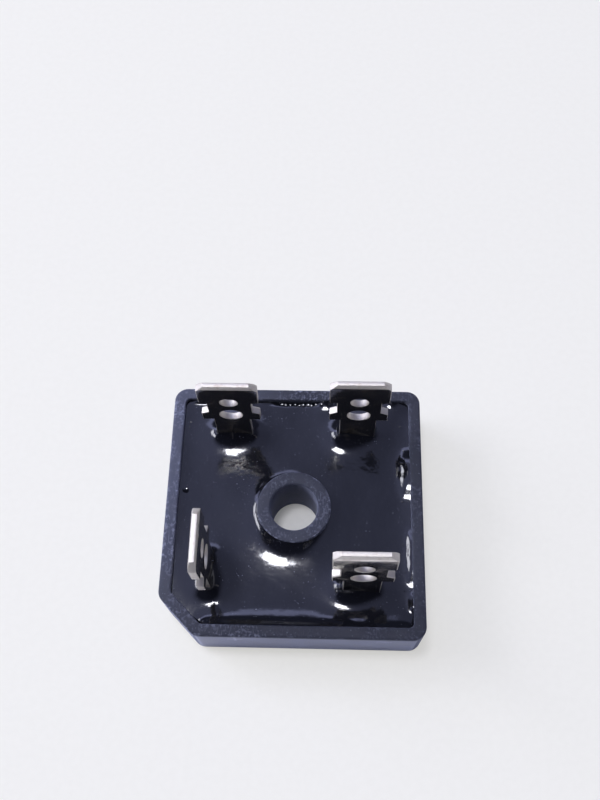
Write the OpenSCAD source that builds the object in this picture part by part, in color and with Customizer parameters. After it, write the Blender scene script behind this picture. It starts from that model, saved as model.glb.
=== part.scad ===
// Potted single-phase bridge rectifier with push-on tabs. A square moulded case
// stands on an aluminium base plate. A keyed sleeve carries the mounting screw.
// Four stamped terminals rise out of the potting, and their bent feet clamp four
// diode chips in a ring round the sleeve.
// +Z points along the tabs, and -Y is the marked side of the case. The origin is
// the centre of the base plate's underside.

/* [Case] */
// Side of the square case
case_side = 28.5; // [26:0.1:36]
// Height of the rim above the base plate's underside
case_h = 7.4; // [6:0.1:12]
// Thickness of the case wall
case_wall = 1.3; // [1:0.1:1.8]
// Leg of the cut corner that marks the plus tab
corner_cut = 4.1; // [2.5:0.1:5]
// Radius of the case's upright edges
corner_r = 1.5; // [1.2:0.1:2.5]
// Radius of the upright edges inside the case
inner_corner_r = 0.6; // [0.3:0.1:1]
// Width of the bevel round the foot of the case
foot_bevel_w = 0.65; // [0.3:0.05:0.7]
// Height of the bevel round the foot of the case
foot_bevel_h = 0.5; // [0.3:0.1:1]
// Broken edge along the rim
rim_break = 0.15; // [0.05:0.05:0.3]

/* [Base plate] */
// Thickness of the base plate
plate_t = 2; // [1.5:0.1:3]
// Width of the case's foot round the base plate
plate_inset = 0.75; // [0.75:0.05:0.9]
// Radius of the base plate's corners
plate_corner_r = 1.2; // [0.6:0.1:2]
// Step by which the base plate stands proud of the foot
plate_proud = 0.1; // [0.05:0.05:0.3]

/* [Mounting sleeve] */
// Bore for the mounting screw
bore_d = 5.3; // [4.3:0.1:6]
// Outside diameter of the sleeve
sleeve_od = 8.2; // [7.5:0.1:10]
// Distance across opposite keys
key_span = 10; // [9:0.1:12.5]
// Width of a key
key_w = 1.5; // [1:0.1:2]
// Countersunk edge at both ends of the bore
bore_break = 0.2; // [0.1:0.05:0.4]
// Broken outer edge at the top of the sleeve
sleeve_break = 0.2; // [0.1:0.05:0.4]

/* [Potting] */
// Depth of the potting under the rim
pot_recess = 0.8; // [0.6:0.1:1.2]
// Height to which the potting climbs the case wall
wall_climb = 0.3; // [0.1:0.05:0.4]
// Width of that climb
wall_climb_w = 1.2; // [0.5:0.1:1.5]
// Height to which the potting climbs the sleeve
sleeve_climb = 0.4; // [0.1:0.05:0.4]
// Width of that climb
sleeve_climb_w = 1.4; // [0.5:0.1:2]
// Height to which the potting climbs a tab's neck
neck_climb = 0.8; // [0.3:0.1:1.2]
// Width of that climb
neck_climb_w = 1.5; // [0.5:0.1:2]

/* [Tabs] */
// Height of the tabs' tips above the base plate's underside
tab_top = 19.9; // [17:0.1:24]
// Width of a tab
tab_w = 6.35; // [4.75:0.05:8]
// Thickness of the tab and lead-frame sheet
tab_t = 0.8; // [0.5:0.05:1]
// Leg of the cut corners at a tab's tip
tip_cut = 0.8; // [0.4:0.1:1.2]
// Lead-in bevel on both faces at the tip
tip_bevel = 0.15; // [0.1:0.05:0.3]
// Distance from the tip to the top of the side notches
notch_top = 3.9; // [3:0.1:5]
// Distance from the tip to the bottom of the side notches
notch_bottom = 6.25; // [5.5:0.05:7.5]
// Rise of the shoulder under a side notch
shoulder_rise = 0.45; // [0.2:0.05:0.8]
// Radius where a tab's edge turns into the notch
notch_r = 0.35; // [0.1:0.05:0.5]
// Width of the waist between the side notches
waist_w = 4.75; // [4:0.05:5.5]
// Distance from the tip to the underside of the ears
ear_bottom = 8.2; // [7.8:0.1:9.5]
// Width of the neck that runs down into the potting
neck_w = 4; // [3.5:0.1:4.5]
// Diameter of the small hole
small_hole_d = 1.9; // [1.2:0.1:2.2]
// Distance from the tip to the small hole
small_hole_drop = 3.75; // [3:0.05:4.5]
// Diameter of the large hole
large_hole_d = 2.5; // [1.8:0.1:3]
// Distance from the tip to the large hole
large_hole_drop = 6.95; // [6.5:0.05:7.5]

/* [Tab places] */
// Distance from the case's face to the mid-plane of a tab
tab_inset = 5.25; // [4.5:0.05:6]
// The same for the front alternating-current tab
front_tab_inset = 5.4; // [4.5:0.05:6]
// Distance from the case's side to the middle of a rear tab
rear_tab_edge = 7.3; // [6.5:0.05:8]
// Distance from the case's side to the middle of the front alternating-current tab
front_tab_edge = 6.85; // [6:0.05:8]
// Distance from the case's front to the middle of the plus tab
plus_tab_edge = 7.05; // [6.5:0.05:8]

/* [Chips and lead frames] */
// Side of a square diode chip
chip_side = 4; // [2.5:0.1:5]
// Thickness of a diode chip
chip_t = 0.3; // [0.2:0.05:0.5]
// Thickness of a solder joint
solder_t = 0.1; // [0.05:0.05:0.2]
// Thickness of the layer that insulates the lead frames from the base plate
insulation_t = 0.3; // [0.2:0.1:0.5]
// Width of a lead frame's arms
arm_w = 5.4; // [4.5:0.1:6]
// Length by which a lead frame's arm reaches past a chip
arm_overlap = 0.6; // [0.3:0.1:1]
// Leg of a lead frame's cut corner
arm_corner_cut = 2.5; // [2:0.1:3.5]
// Inside radius of the bend from foot to neck
bend_r = 0.6; // [0.4:0.1:1]
// Relief on each side of the neck at the bend
bend_relief = 0.3; // [0.2:0.1:0.5]

/* [Hidden] */
$fn = 64;

// Length by which a cutting tool runs past the face that it cuts.
past = 1;
// Width of the lip in which the potting ends on what it climbs.
climb_lip = 0.05;
// Steps along a climb, from its top down to its foot and back up.
climb_down = [0 : 0.25 : 1];
climb_up = [1 : -0.25 : 0];
half = case_side / 2;

// Heights of the stack between the base plate and the potting's surface.
insulation_top = plate_t + insulation_t;
lower_foot_z = insulation_top;
lower_solder_z = lower_foot_z + tab_t;
chip_z = lower_solder_z + solder_t;
upper_solder_z = chip_z + chip_t;
upper_foot_z = upper_solder_z + solder_t;
pot_top = case_h - pot_recess;

// The chips' ring runs midway between the sleeve and the case wall.
ring_r = (sleeve_od / 2 + half - case_wall) / 2;
arm_in = ring_r - arm_w / 2;
arm_out = ring_r + arm_w / 2;
arm_end = chip_side / 2 + arm_overlap;

CASE_COLOUR = "#3f4252";
POTTING_COLOUR = "#2a2b36";
PLATE_COLOUR = "#b9bcc9";
TIN_COLOUR = "#e6ddd0";
INSULATION_COLOUR = "#d9d4c0";
SILICON_COLOUR = "#5c6570";
SOLDER_COLOUR = "#a8a9ad";

// Leg of the cut corner on an outline that lies inset from the case's face.
function cut_leg(inset) = corner_cut - inset * (2 - sqrt(2));

// Points along an edge round of radius r, from one bearing to the other.
function round_points(centre, r, from, to) = [
    for (bearing = [from : 360 / $fn : to]) centre + r * [cos(bearing), sin(bearing)]
];

// Square outline with one cut corner and rounded corners, at this inset from the
// case's face.
function outline(inset, r) =
    let (h = half - inset, c = h - r, k = h - cut_leg(inset) - r * (sqrt(2) - 1))
    concat(
        round_points([-k, -c], r, 225, 270),
        round_points([c, -c], r, 270, 360),
        round_points([c, c], r, 0, 90),
        round_points([-c, c], r, 90, 180),
        round_points([-c, -k], r, 180, 225)
    );

// Block with this outline between two heights.
module block(inset, r, z0, z1) {
    translate([0, 0, z0]) linear_extrude(z1 - z0) polygon(outline(inset, r));
}

// Solid through a stack of outlines with equal numbers of points. Each level is a
// height and its outline, from the bottom up.
module loft(levels) {
    n = len(levels[0][1]);
    last = len(levels) - 1;
    polyhedron(
        points = [for (level = levels, p = level[1]) [p.x, p.y, level[0]]],
        faces = [
            [for (i = [0 : n - 1]) i],
            [for (i = [n - 1 : -1 : 0]) last * n + i],
            for (k = [0 : last - 1], i = [0 : n - 1])
                [k * n + i, (k + 1) * n + i, (k + 1) * n + (i + 1) % n, k * n + (i + 1) % n]
        ]
    );
}

// Moulded frame: the wall, and a rebate in its foot that the base plate seats in.
module case() {
    color(CASE_COLOUR) difference() {
        loft([
            [plate_proud, outline(foot_bevel_w, corner_r - foot_bevel_w)],
            [plate_proud + foot_bevel_h, outline(0, corner_r)],
            [case_h - rim_break, outline(0, corner_r)],
            [case_h, outline(rim_break, corner_r - rim_break)]
        ]);
        block(case_wall, inner_corner_r, plate_t - past, case_h + past);
        block(plate_inset, plate_corner_r, plate_proud - past, plate_t);
    }
}

// The sleeve's outline at the base plate: a round with four keys.
module keyed_end(z0, z1) {
    translate([0, 0, z0]) {
        cylinder(d = sleeve_od, h = z1 - z0);
        for (turn = [0, 90]) rotate([0, 0, turn])
            translate([-key_span / 2, -key_w / 2, 0]) cube([key_span, key_w, z1 - z0]);
    }
}

// Moulded tube for the mounting screw, with its keys through the base plate.
module mounting_sleeve() {
    color(CASE_COLOUR) difference() {
        union() {
            keyed_end(0, plate_t);
            rotate_extrude() polygon([
                [0, 0], [sleeve_od / 2, 0], [sleeve_od / 2, case_h - sleeve_break],
                [sleeve_od / 2 - sleeve_break, case_h], [0, case_h]
            ]);
        }
        rotate_extrude() polygon([
            [0, -past], [bore_d / 2 + bore_break, -past], [bore_d / 2 + bore_break, 0],
            [bore_d / 2, bore_break], [bore_d / 2, case_h - bore_break],
            [bore_d / 2 + bore_break, case_h], [bore_d / 2 + bore_break, case_h + past],
            [0, case_h + past]
        ]);
    }
}

// Aluminium plate that takes the heat out of the chips.
module base_plate() {
    color(PLATE_COLOUR) difference() {
        block(plate_inset, plate_corner_r, 0, plate_t);
        keyed_end(-past, plate_t + past);
    }
}

// Thin cured layer between the base plate and the live lead frames.
module insulating_layer() {
    color(INSULATION_COLOUR) difference() {
        block(case_wall, inner_corner_r, plate_t, insulation_top);
        translate([0, 0, plate_t - past]) cylinder(d = sleeve_od, h = insulation_t + 2 * past);
    }
}

// Right half of a tab's outline, from the tip down to the bend.
function tab_side(length) = [
    [0, -length], [neck_w / 2, -length], [neck_w / 2, -ear_bottom], [tab_w / 2, -ear_bottom],
    [tab_w / 2, -notch_bottom - shoulder_rise], [waist_w / 2, -notch_bottom],
    [waist_w / 2, -notch_top],
    for (a = [-90 : 22.5 : 0])
        [tab_w / 2 - notch_r + notch_r * cos(a), -notch_top + notch_r + notch_r * sin(a)],
    [tab_w / 2, -tip_cut], [tab_w / 2 - tip_cut, 0], [0, 0]
];

// Upright tab with its tip at z = 0, in the XZ plane and centred on it.
module tab(length) {
    side = tab_side(length);
    intersection() {
        rotate([90, 0, 0]) translate([0, 0, -tab_t / 2]) linear_extrude(tab_t) difference() {
            union() {
                polygon(side);
                mirror([1, 0]) polygon(side);
            }
            translate([0, -small_hole_drop]) circle(d = small_hole_d);
            translate([0, -large_hole_drop]) circle(d = large_hole_d);
        }
        rotate([90, 0, 90]) translate([0, 0, -tab_w]) linear_extrude(2 * tab_w) polygon([
            [-tab_t / 2, -length], [tab_t / 2, -length], [tab_t / 2, -tip_bevel],
            [tab_t / 2 - tip_bevel, 0], [-tab_t / 2 + tip_bevel, 0], [-tab_t / 2, -tip_bevel]
        ]);
    }
}

// Quarter bend from the neck, which is at y = 0, to a foot whose underside is at z = 0.
module bend() {
    translate([-neck_w / 2, tab_t / 2 + bend_r, tab_t + bend_r])
        rotate([90, 0, 90]) rotate([0, 0, 180]) rotate_extrude(angle = 90)
            translate([bend_r, 0]) square([tab_t, neck_w]);
}

// Terminal of the front right corner: a tab and, in one piece with it, an L-shaped
// foot whose two arms reach over the chips of both neighbouring sides.
module terminal(foot_z, tab_edge, inset) {
    tab_x = half - tab_edge;
    tab_y = -(half - inset);
    bend_h = tab_t + bend_r;
    bend_line = tab_y + tab_t / 2 + bend_r;
    relief_w = neck_w + 2 * bend_relief;
    color(TIN_COLOUR) {
        translate([tab_x, tab_y, tab_top]) tab(tab_top - foot_z - bend_h);
        translate([tab_x, tab_y, foot_z]) bend();
        translate([0, 0, foot_z]) linear_extrude(tab_t) difference() {
            polygon([
                [-arm_end, -arm_in], [-arm_end, -arm_out], [arm_out - arm_corner_cut, -arm_out],
                [arm_out, -arm_out + arm_corner_cut], [arm_out, arm_end],
                [arm_in, arm_end], [arm_in, -arm_in]
            ]);
            translate([tab_x - relief_w / 2, -arm_out - past])
                square([relief_w, bend_line + arm_out + past]);
        }
    }
}

// The other three corners, as turns of the front right one.
module front_left() { rotate([0, 0, -90]) children(); }
module rear_right() { mirror([0, 1, 0]) children(); }
module rear_left() { rotate([0, 0, 180]) children(); }

module terminal_plus() { front_left() terminal(lower_foot_z, plus_tab_edge, tab_inset); }
module terminal_minus() { rear_right() terminal(lower_foot_z, rear_tab_edge, tab_inset); }
module terminal_ac_1() { terminal(upper_foot_z, front_tab_edge, front_tab_inset); }
module terminal_ac_2() { rear_left() terminal(upper_foot_z, rear_tab_edge, tab_inset); }

// Square wafer on the chips' ring, over the middle of the side at this turn.
module wafer(turn, z0, thickness) {
    rotate([0, 0, turn]) translate([ring_r - chip_side / 2, -chip_side / 2, z0])
        cube([chip_side, chip_side, thickness]);
}

module diode(turn) {
    color(SILICON_COLOUR) wafer(turn, chip_z, chip_t);
}

module diode_ac1_plus() { diode(-90); }
module diode_ac2_plus() { diode(180); }
module diode_minus_ac1() { diode(0); }
module diode_minus_ac2() { diode(90); }

// Solder under and over each chip.
module solder_joints() {
    color(SOLDER_COLOUR) for (turn = [0 : 90 : 270], z0 = [lower_solder_z, upper_solder_z])
        wafer(turn, z0, solder_t);
}

// Height of the potting at a share of the way down a climb.
function climb_z(rise, share) = pot_top + rise * pow(1 - share, 2);

// Poured block of potting. Its surface is level but for the climb along the wall.
module poured_block() {
    loft([
        [insulation_top, outline(case_wall, inner_corner_r)],
        for (share = climb_down) [
            climb_z(wall_climb, share),
            outline(case_wall + wall_climb_w * share, inner_corner_r)
        ]
    ]);
}

// Collar of potting on the sleeve.
module sleeve_collar() {
    rotate_extrude() polygon([
        [0, pot_top - past], [sleeve_od / 2 + climb_lip + sleeve_climb_w, pot_top - past],
        for (share = climb_up)
            [sleeve_od / 2 + climb_lip + sleeve_climb_w * share, climb_z(sleeve_climb, share)],
        [0, climb_z(sleeve_climb, 0)]
    ]);
}

// Outline of a neck, grown by a width.
function grown_neck(grow) =
    let (x = neck_w / 2, y = tab_t / 2)
    concat(
        round_points([-x, -y], grow, 180, 270), round_points([x, -y], grow, 270, 360),
        round_points([x, y], grow, 0, 90), round_points([-x, y], grow, 90, 180)
    );

// Mound of potting round the neck of the front right corner's terminal.
module neck_mound(tab_edge, inset) {
    $fn = 24;
    translate([half - tab_edge, -(half - inset), 0]) loft([
        [pot_top - past, grown_neck(climb_lip + neck_climb_w)],
        for (share = climb_up)
            [climb_z(neck_climb, share), grown_neck(climb_lip + neck_climb_w * share)]
    ]);
}

// Cast epoxy that fills the case round everything in it.
module potting() {
    color(POTTING_COLOUR) difference() {
        union() {
            poured_block();
            sleeve_collar();
            front_left() neck_mound(plus_tab_edge, tab_inset);
            rear_right() neck_mound(rear_tab_edge, tab_inset);
            neck_mound(front_tab_edge, front_tab_inset);
            rear_left() neck_mound(rear_tab_edge, tab_inset);
        }
        cylinder(d = sleeve_od, h = case_h + past);
        terminal_plus();
        terminal_minus();
        terminal_ac_1();
        terminal_ac_2();
        for (turn = [0 : 90 : 270]) wafer(turn, lower_solder_z, upper_foot_z - lower_solder_z);
    }
}

case();
mounting_sleeve();
base_plate();
insulating_layer();
potting();
terminal_plus();
terminal_minus();
terminal_ac_1();
terminal_ac_2();
diode_ac1_plus();
diode_ac2_plus();
diode_minus_ac1();
diode_minus_ac2();
solder_joints();
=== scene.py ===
import math
import random

import bmesh
import bpy
import numpy as np
from mathutils import Matrix, Vector, noise
from mathutils.geometry import tessellate_polygon


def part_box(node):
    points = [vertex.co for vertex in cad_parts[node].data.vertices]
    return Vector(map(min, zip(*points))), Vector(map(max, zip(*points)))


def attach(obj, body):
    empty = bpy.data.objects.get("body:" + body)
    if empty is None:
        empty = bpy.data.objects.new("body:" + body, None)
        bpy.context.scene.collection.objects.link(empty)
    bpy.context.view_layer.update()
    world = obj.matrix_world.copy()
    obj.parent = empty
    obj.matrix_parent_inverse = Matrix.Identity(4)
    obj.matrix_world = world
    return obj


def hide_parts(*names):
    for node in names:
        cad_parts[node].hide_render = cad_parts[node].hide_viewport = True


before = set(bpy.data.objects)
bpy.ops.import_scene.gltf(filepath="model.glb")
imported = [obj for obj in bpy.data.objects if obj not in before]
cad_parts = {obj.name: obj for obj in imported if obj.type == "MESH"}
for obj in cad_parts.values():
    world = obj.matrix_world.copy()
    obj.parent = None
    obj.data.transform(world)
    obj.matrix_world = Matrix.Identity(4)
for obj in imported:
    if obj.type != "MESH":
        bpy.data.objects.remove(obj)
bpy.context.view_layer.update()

bl_info = {
    "name": "Bridge rectifier",
    "version": (1, 0, 0),
    "blender": (4, 5, 0),
    "location": "View3D > Sidebar > Rectifier",
    "description": "Looks of a potted bridge rectifier with push-on tabs",
    "category": "Object",
}

# Lengths are in metres, and s stands for the settings of the piece that is being made.
MM = 0.001
BODY = "root"

CASE_LOW, CASE_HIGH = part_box("case")
PLATE_LOW, PLATE_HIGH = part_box("base_plate")
POTTING_LOW, POTTING_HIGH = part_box("potting")
SLEEVE_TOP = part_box("mounting_sleeve")[1].z
HALF = CASE_HIGH.x
WALL = CASE_HIGH.x - POTTING_HIGH.x
PLATE_INSET = CASE_HIGH.x - PLATE_HIGH.x
FRONT = 0.1 * MM - HALF  # what lies before this is on the case's front wall


# ---------------------------------------------------------------- settings


def linear(code):
    """Linear RGBA of an sRGB hex colour."""
    parts = [int(code[i : i + 2], 16) / 255 for i in (1, 3, 5)]
    return [p / 12.92 if p <= 0.04045 else ((p + 0.055) / 1.055) ** 2.4 for p in parts] + [1]


def length(name, description, millimetres):
    """A length property. Its default is given in millimetres."""
    return bpy.props.FloatProperty(
        name=name, description=description, default=millimetres * MM, unit="LENGTH", precision=5
    )


def amount(name, description, default):
    """A plain number property."""
    return bpy.props.FloatProperty(name=name, description=description, default=default)


def colour(name, description, code):
    """A colour property. Its default is given as an sRGB hex colour."""
    return bpy.props.FloatVectorProperty(
        name=name, description=description, default=linear(code), size=4, subtype="COLOR", min=0, max=1
    )


class CaseSettings(bpy.types.PropertyGroup):
    """Sizes and colours of the moulded case."""

    corner_cut: length("Corner cut", "Leg of the cut corner that marks the plus tab", 4.1)
    corner_r: length("Corner radius", "Radius of the upright edges outside", 1.5)
    inner_r: length("Inner corner radius", "Radius of the upright edges inside", 0.6)
    foot_w: length("Foot bevel width", "Width of the bevel round the foot", 0.65)
    foot_h: length("Foot bevel height", "Height of the bevel round the foot", 0.5)
    rim_round: length("Rim round", "Radius of the rim's outer edge", 0.22)
    lip_round: length("Lip round", "Radius of the rim's inner edge", 0.16)
    nick: length("Nick depth", "Depth of the knocks along the rim's edges", 0.07)
    spacing: length("Spacing", "Distance between the points along the rim", 0.22)
    plus_x: length("Plus mark", "Place of the plus mark along the front", -5.9)
    tilde_x: length("Tilde mark", "Place of the tilde along the front", 9.85)
    mark_z: length("Mark height", "Height of both marks", 5.95)
    mark_size: length("Mark size", "Width of a mark", 1.65)
    mark_stroke: length("Mark stroke", "Width of a mark's stroke", 0.28)
    body: colour("Case", "Slate black of the moulding", "#1b1e2b")
    # This colour is also laid thickly on the case's front wall, as a painted reflection of the pale floor.
    haze: colour("Dusty case", "Dust in the grain of the moulding", "#6a6f85")
    worn: colour("Worn case", "Rubbed places of the moulding", "#9a9eb2")
    dust: colour("Dust", "Fine dust on the moulding, seen at a glancing angle", "#ccd2ea")
    sheen: amount("Dust sheen", "Strength of that dust on the rough walls", 0.45)
    ink: colour("Ink", "Printed polarity marks", "#a9a9bb")


class PottingSettings(bpy.types.PropertyGroup):
    """Shape and colour of the cast epoxy."""

    recess: length("Recess", "Depth of the epoxy's level under the rim", 0.8)
    reach: length("Reach", "Distance over which the climbing epoxy settles to its level", 1.6)
    front_climb: length("Front climb", "Rise at the front wall", 0.62)
    back_climb: length("Back climb", "Rise at the back wall", 0.16)
    left_climb: length("Left climb", "Rise at the left wall and the cut corner", 0.14)
    right_climb: length("Right climb", "Rise at the right wall", 0.2)
    sleeve_climb: length("Climb at the sleeve", "Rise at the front of the sleeve", 0.58)
    tab_climb: length("Climb at the tabs", "Rise at a tab's neck", 1.0)
    falls: amount("Fall of the climb", "Share by which the climb falls off round a neck, per mm", 0.22)
    skirt: length("Skirt", "Width of the steep skirt close to what the epoxy wets", 0.45)
    skirt_rise: length("Skirt rise", "Height of that skirt", 0.35)
    wobble: length("Wobble", "Unevenness of the cured surface", 0.02)
    cell: length("Cell", "Step of the grid on which the surface is worked out", 0.125)
    body: colour("Epoxy", "Black of the cast epoxy", "#0d0e13")
    dust: colour("Dust", "Dust caught in the skin", "#b9bccb")


class SleeveSettings(bpy.types.PropertyGroup):
    """Sizes of the moulded sleeve for the mounting screw."""

    bore_r: length("Bore radius", "Radius of the screw hole", 2.65)
    outer_r: length("Outer radius", "Radius of the sleeve above the base plate", 4.1)
    key_reach: length("Key reach", "Distance from the middle to the end of a key", 5.0)
    key_w: length("Key width", "Width of a key", 1.5)
    edge: length("Edge round", "Radius of the sleeve's upper edges", 0.18)


class PlateSettings(bpy.types.PropertyGroup):
    """Sizes and colours of the aluminium base plate."""

    corner_r: length("Corner radius", "Radius of the plate's corners", 1.2)
    edge: length("Edge round", "Radius of the rolled edge underneath", 0.15)
    metal: colour("Aluminium", "Bare tumbled aluminium", "#c3c6cf")
    dull: colour("Dull aluminium", "Darker blotches of the bare metal", "#9ea2b0")


class TabSettings(bpy.types.PropertyGroup):
    """Sizes and colours of the four stamped terminals."""

    width: length("Tab width", "Width of a tab", 6.35)
    sheet: length("Sheet thickness", "Thickness of the tab and lead-frame sheet", 0.8)
    tip_cut: length("Tip cut", "Leg of the cut corners at the tip", 0.8)
    tip_bevel: length("Tip bevel", "Depth of the lead-in bevel on both faces at the tip", 0.15)
    tip_run: length("Tip bevel length", "Length of the lead-in bevel along the tab", 0.5)
    notch_top: length("Notch top", "Distance from the tip to the top of the side notches", 3.9)
    notch_bottom: length("Notch bottom", "Distance from the tip to the bottom of the notches", 6.25)
    shoulder: length("Shoulder rise", "Rise of the shoulder under a side notch", 0.45)
    notch_r: length("Notch radius", "Radius where the edge turns into the notch", 0.35)
    waist: length("Waist width", "Width between the side notches", 4.75)
    ear_bottom: length("Ear bottom", "Distance from the tip to the underside of the ears", 8.2)
    neck: length("Neck width", "Width of the neck that runs into the epoxy", 4.0)
    small_hole: length("Small hole radius", "Radius of the small hole", 0.95)
    small_drop: length("Small hole drop", "Distance from the tip to the small hole", 3.75)
    large_hole: length("Large hole radius", "Radius of the large hole", 1.25)
    large_drop: length("Large hole drop", "Distance from the tip to the large hole", 6.95)
    edge: length("Sheared edge", "Rounding of the sheared edges on the punch's side", 0.09)
    burr: length("Burr side", "Rounding of the sheared edges on the other side", 0.05)
    plus_lean: length("Plus tab lean", "Lean of the plus tab's tip, inwards", -0.08)
    minus_lean: length("Minus tab lean", "Lean of the minus tab's tip, inwards", -0.25)
    ac_1_lean: length("Front tab lean", "Lean of the front tab's tip, inwards", 0.35)
    ac_2_lean: length("Rear tab lean", "Lean of the rear tab's tip, inwards", 0.13)
    inset: length("Inset", "Distance from the case's face to a tab's mid-plane", 5.25)
    front_inset: length("Front inset", "The same for the front alternating-current tab", 5.4)
    rear_edge: length("Rear tab place", "Distance from the case's side to a rear tab", 7.3)
    front_edge: length("Front tab place", "Distance from the case's side to the front tab", 6.85)
    plus_edge: length("Plus tab place", "Distance from the case's front to the plus tab", 7.05)
    arm_w: length("Arm width", "Width of a lead frame's arms", 5.4)
    arm_end: length("Arm end", "Distance from the chip's middle to the end of an arm", 2.6)
    arm_cut: length("Arm corner cut", "Leg of a lead frame's cut corner", 2.5)
    bend_r: length("Bend radius", "Inside radius of the bend", 0.6)
    relief: length("Bend relief", "Gap on each side of the neck at the bend", 0.3)
    tin: colour("Tin", "Bright tin plating", "#f1eadb")
    sheared: colour("Sheared tin", "Plating over the sheared edges", "#dcd6ca")
    dull: colour("Dull tin", "Fingered and oxidised plating", "#cfc4b6")


class StageSettings(bpy.types.PropertyGroup):
    """Floor, light and camera."""

    floor: colour("Floor", "Plain pale floor", "#f5f4ef")
    floor_fibre: colour("Floor fibre", "Fibres of the floor's board", "#f1f0eb")
    backdrop: colour("Backdrop", "Plain pale wall behind the floor", "#eeeff2")
    lamps: colour("Lamps", "Light of the soft lamps", "#f6f7ff")
    sky: colour("Room light", "Light of the bright side of the room", "#c6cdff")
    low_sky: colour("Low light", "Light that comes in near the floor", "#f6f6fd")
    sky_strength: amount("Room strength", "Strength of the room's bright side", 1.2)
    strip: amount("Strip strength", "Strength of the bright strip behind the part", 2.4)
    horizon: amount("Low light strength", "Strength of the light near the floor", 1.3)
    dark: amount("Dark side", "Strength of the room's dark side", 0.09)
    whiteness: amount("Floor whiteness", "Share of plain white in the floor as seen", 0.62)
    bore_whiteness: amount("Whiteness in the bore", "The same share, on the floor within the bore", 0.16)
    lens: amount("Lens", "Focal length in millimetres on a 36 mm sensor", 40.83)


SETTINGS = {
    "rectifier_case": CaseSettings,
    "rectifier_potting": PottingSettings,
    "rectifier_sleeve": SleeveSettings,
    "rectifier_plate": PlateSettings,
    "rectifier_tabs": TabSettings,
    "rectifier_stage": StageSettings,
}


# ---------------------------------------------------------------- shapes


def outline(inset, radius, spacing):
    """Square outline with one cut corner and rounded corners, at this inset from the
    case's face. The number of points depends only on the spacing."""
    cut = bpy.context.scene.rectifier_case.corner_cut
    reach = HALF - inset
    c = reach - radius
    k = reach - (cut - inset * (2 - math.sqrt(2))) - radius * (math.sqrt(2) - 1)
    rounds = [(-k, -c, 225, 270), (c, -c, 270, 360), (c, c, 0, 90), (-c, c, 90, 180), (-c, -k, 180, 225)]
    sides = [2 * HALF - cut, 2 * HALF, 2 * HALF, 2 * HALF - cut, cut * math.sqrt(2)]
    arcs = []
    for x, y, start, stop in rounds:
        turn = np.radians(np.linspace(start, stop, (stop - start) // 6 + 1))
        arcs.append(np.c_[x + radius * np.cos(turn), y + radius * np.sin(turn)])
    parts = []
    for arc, following, side in zip(arcs, arcs[1:] + arcs[:1], sides):
        parts += [arc, np.linspace(arc[-1], following[0], round(side / spacing) + 1)[1:-1]]
    return np.concatenate(parts)


def at_height(points, z):
    """Plan points, or one height for each, lifted to 3D."""
    return np.c_[points, np.broadcast_to(z, len(points))]


def band(first, second, count):
    """Quads between two rings of equal count, given by the index of their first points."""
    i = np.arange(count)
    j = (i + 1) % count
    return np.c_[first + i, first + j, second + j, second + i].tolist()


def swept(rings, closed):
    """Points and quads of a surface through rings of equal count."""
    count = len(rings[0])
    starts = [n * count for n in range(len(rings))]
    pairs = list(zip(starts, starts[1:])) + ([(starts[-1], 0)] if closed else [])
    return np.concatenate(rings), [face for a, b in pairs for face in band(a, b, count)]


def quarter_round(radius, count):
    """Points round a quarter of an edge, as distances inwards and downwards from where
    its two faces would meet."""
    turns = np.radians(np.linspace(0, 90, count))
    return [(radius * (1 - math.cos(a)), radius * (1 - math.sin(a))) for a in turns]


def offset_loop(loop, distance):
    """A closed plan loop moved to its left by a distance, with mitred corners."""
    ahead = np.roll(loop, -1, axis=0) - loop
    ahead /= np.linalg.norm(ahead, axis=1)[:, None]
    left = np.c_[-ahead[:, 1], ahead[:, 0]]
    behind = np.roll(left, 1, axis=0)
    return loop + distance * (left + behind) / (1 + np.sum(left * behind, axis=1))[:, None]


def plate(loops, low, high, low_edge, high_edge):
    """Points, side faces and cap faces of a flat plate with rounded edges. The first loop
    runs anticlockwise round the plate, and the others run clockwise round its holes."""
    levels = [(down, low + inward) for inward, down in quarter_round(low_edge, 4)]
    levels += [(down, high - inward) for inward, down in quarter_round(high_edge, 4)[::-1]]
    points, sides, rims, caps = [], [], [[], []], []
    start = 0
    for loop in loops:
        for move, z in levels:
            points.append(at_height(offset_loop(loop, move), z))
        for n in range(len(levels) - 1):
            sides += band(start + n * len(loop), start + (n + 1) * len(loop), len(loop))
        rims[0].append((start, len(loop)))
        rims[1].append((start + (len(levels) - 1) * len(loop), len(loop)))
        start += len(levels) * len(loop)
    points = np.concatenate(points)
    for rim, flip in zip(rims, (True, False)):
        index = [first + i for first, count in rim for i in range(count)]
        loops_3d = [[Vector(points[first + i]) for i in range(count)] for first, count in rim]
        for corners in tessellate_polygon(loops_3d):
            corners = [index[c] for c in corners]
            a, b, c = (points[n][:2] for n in corners)
            anticlockwise = (b[0] - a[0]) * (c[1] - a[1]) - (b[1] - a[1]) * (c[0] - a[0]) > 0
            caps.append(corners[::-1] if anticlockwise == flip else corners)
    return points, sides, caps


def ragged(point, scale, seed):
    """Smooth noise from -1 to 1 at a point, with features of this size."""
    return noise.noise(Vector(point) / scale + Vector((seed, 2.7 * seed, -seed)))


def add_piece(name, points, faces, materials, sharp=40, attributes=None):
    """A mesh object that rides on the part."""
    mesh = bpy.data.meshes.new(name)
    mesh.from_pydata([tuple(p) for p in points], [], faces)
    for key, values in (attributes or {}).items():
        mesh.attributes.new(key, "FLOAT", "POINT").data.foreach_set("value", np.asarray(values, np.float32))
    mesh.shade_smooth()
    mesh.set_sharp_from_angle(angle=math.radians(sharp))
    for material in materials:
        mesh.materials.append(material)
    piece = bpy.data.objects.new(name, mesh)
    bpy.context.scene.collection.objects.link(piece)
    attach(piece, BODY)
    return piece


# ---------------------------------------------------------------- materials


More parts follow.
